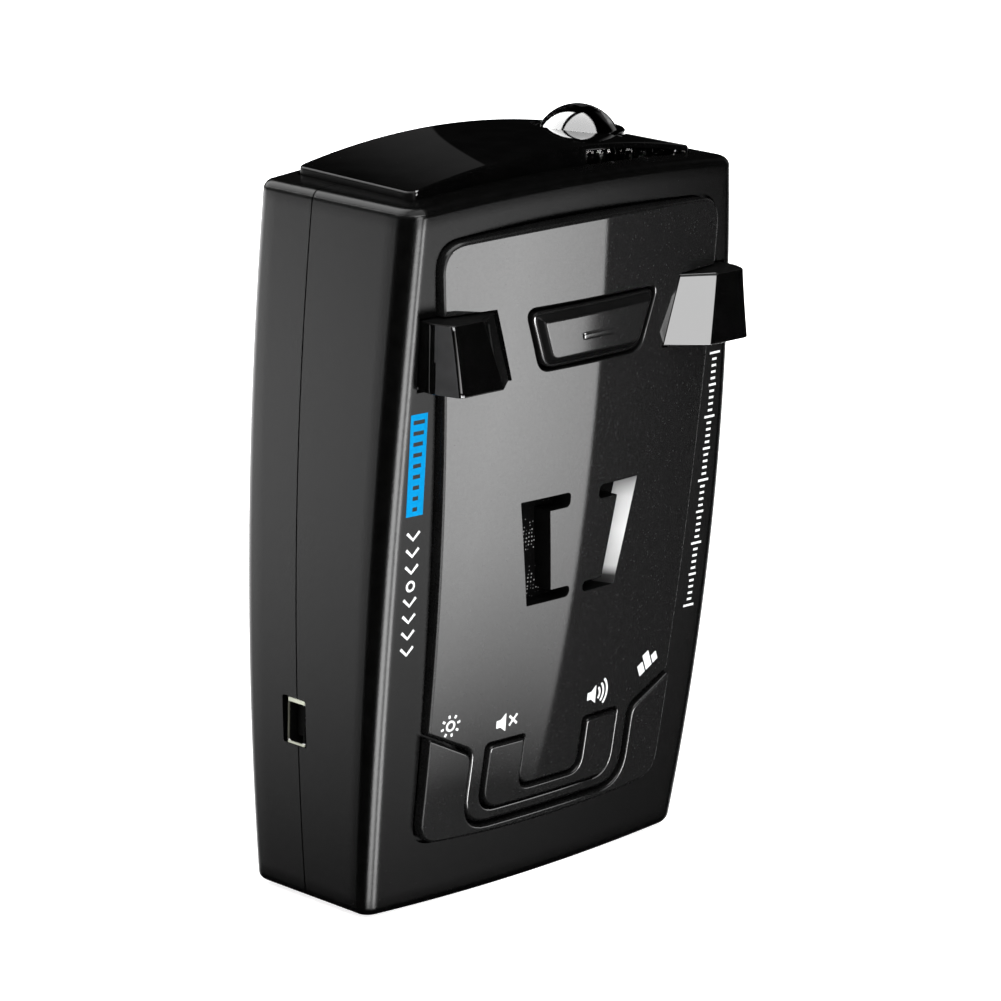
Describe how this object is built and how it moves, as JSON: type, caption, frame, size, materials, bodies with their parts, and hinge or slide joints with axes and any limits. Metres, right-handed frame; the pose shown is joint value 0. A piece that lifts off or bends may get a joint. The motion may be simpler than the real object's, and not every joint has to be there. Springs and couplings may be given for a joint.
{
  "type": "radar detector",
  "caption": "Windscreen radar detector: barrel-shaped black case with a satin key panel, bracket rails, glossy cap and clear domed laser lens.",
  "frame": {"origin": "middle of the foot, on the surface that the detector stands on, under the centre of its overall box", "axes": "+Z from the display end up to the road-facing end, -Y out of the key panel and the bracket rails, +X to the right seen from the key panel"},
  "size_m": [0.0708, 0.0384, 0.1111],
  "materials": {
    "case_front": "fine moulded texture, satin black",
    "case_rear": "fine moulded texture, satin black",
    "panel": "satin black paint with fine metallic grain",
    "gloss_black": "polished black",
    "clear_lens": "clear moulded acrylic",
    "dark_window": "dark tinted, polished",
    "label": "blank printed label",
    "screw_steel": "black zinc screw",
    "mesh": "fine woven mesh",
    "speaker_metal": "pressed steel",
    "cone_paper": "treated paper",
    "terminal": "laminate strip",
    "lead": "insulated wire",
    "circuit_board": "green solder mask",
    "moulded_black": "moulded black",
    "socket_steel": "plated steel",
    "spring_steel": "spring steel",
    "shield": "tinned steel",
    "cast_zinc": "bare die casting",
    "wheel": "knurled moulded black",
    "display_face": "smoked display block"
  },
  "bodies": {
    "housing": {"front_shell": "case_front", "rear_shell": "case_rear", "face_panel": "panel", "left_rail_block": "gloss_black", "right_rail_block": "gloss_black", "roof_cap": "gloss_black", "laser_lens": "clear_lens", "display_window": "dark_window", "rating_label": "label", "case_screw_1": "screw_steel", "case_screw_2": "screw_steel", "case_screw_3": "screw_steel", "case_screw_4": "screw_steel", "speaker_mesh": "mesh", "speaker_frame": "speaker_metal", "speaker_magnet": "speaker_metal", "speaker_cone": "cone_paper", "speaker_terminal": "terminal", "speaker_lead_left": "lead", "speaker_lead_right": "lead", "main_board": "circuit_board", "mixer_board": "circuit_board", "sensor_board": "circuit_board", "display_board": "circuit_board", "outer_switch_1": "moulded_black", "outer_switch_2": "moulded_black", "inner_switch_1": "moulded_black", "inner_switch_2": "moulded_black", "power_socket_tongue": "moulded_black", "volume_control": "moulded_black", "laser_sensor": "moulded_black", "power_socket_shell": "socket_steel", "release_leaf": "spring_steel", "shield_can": "shield", "horn_antenna": "cast_zinc", "display_module": "display_face"},
    "outer_key_rocker": {"outer_key": "panel"},
    "inner_key_rocker": {"inner_key": "panel"},
    "release_plunger": {"release_button": "panel", "release_carrier": "moulded_black"},
    "volume_knob": {"volume_wheel": "wheel"}
  },
  "joints": [
    {"name": "outer_key_rock", "type": "hinge", "parent": "housing", "child": "outer_key_rocker", "pos_m": [0, -0.00617, 0.0105], "axis": [0, 0, 1], "range_deg": [-1, 1], "stiffness_Nm_per_rad": 2},
    {"name": "inner_key_rock", "type": "hinge", "parent": "housing", "child": "inner_key_rocker", "pos_m": [0, -0.00668, 0.0146], "axis": [0, 0, 1], "range_deg": [-2, 2], "stiffness_Nm_per_rad": 0.6},
    {"name": "release_press", "type": "slide", "parent": "housing", "child": "release_plunger", "axis": [0, 1, 0], "range_m": [0, 0.0015], "stiffness_N_per_m": 900},
    {"name": "volume_turn", "type": "hinge", "parent": "housing", "child": "volume_knob", "pos_m": [0.02733, 0, 0.0277], "axis": [0, 1, 0], "range_deg": [0, 270]}
  ]
}
